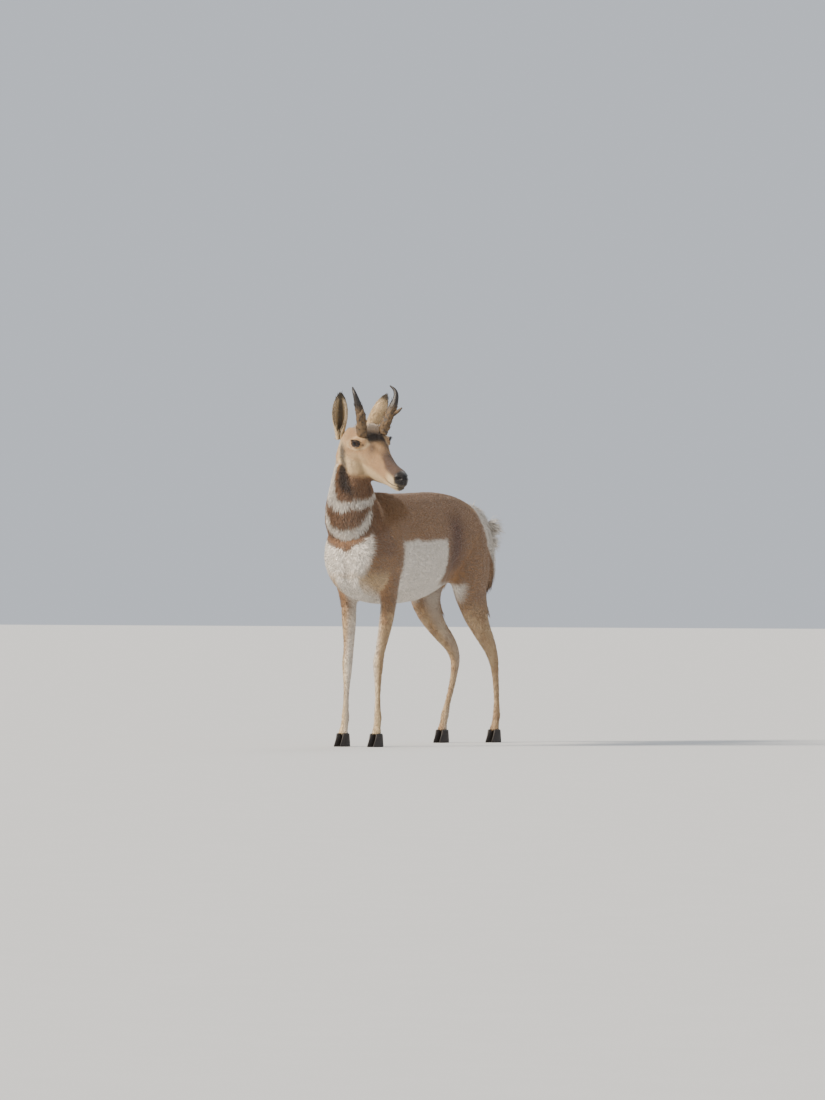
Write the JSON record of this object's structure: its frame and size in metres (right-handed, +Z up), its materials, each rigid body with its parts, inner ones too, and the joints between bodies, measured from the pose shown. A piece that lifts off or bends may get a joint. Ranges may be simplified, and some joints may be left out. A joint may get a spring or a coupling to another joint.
{
  "type": "standing pronghorn",
  "caption": "Life-size model of a young pronghorn buck standing on four legs with its head turned to its left, short black horns and cupped ears",
  "frame": {"origin": "middle of the bounding box on the ground, under the belly, level with the soles", "axes": "+Z up, -Y the way the body faces, +X the animal's left"},
  "size_m": [0.3954, 0.997, 1.2365],
  "materials": {
    "coat": "short tan and white hair",
    "horn": "dark ridged horn",
    "eye": "wet and glossy",
    "hoof": "worn dark horn"
  },
  "bodies": {
    "root": {"head": "coat", "neck": "coat", "torso": "coat", "tail": "coat", "foreleg_left": "coat", "foreleg_right": "coat", "hindleg_left": "coat", "hindleg_right": "coat", "ear_left": "coat", "ear_right": "coat", "eye_left": "eye", "eye_right": "eye", "horn_left": "horn", "horn_right": "horn", "claw_fore_left_outer": "hoof", "claw_fore_left_inner": "hoof", "claw_fore_right_outer": "hoof", "claw_fore_right_inner": "hoof", "claw_hind_left_outer": "hoof", "claw_hind_left_inner": "hoof", "claw_hind_right_outer": "hoof", "claw_hind_right_inner": "hoof"}
  },
  "joints": []
}
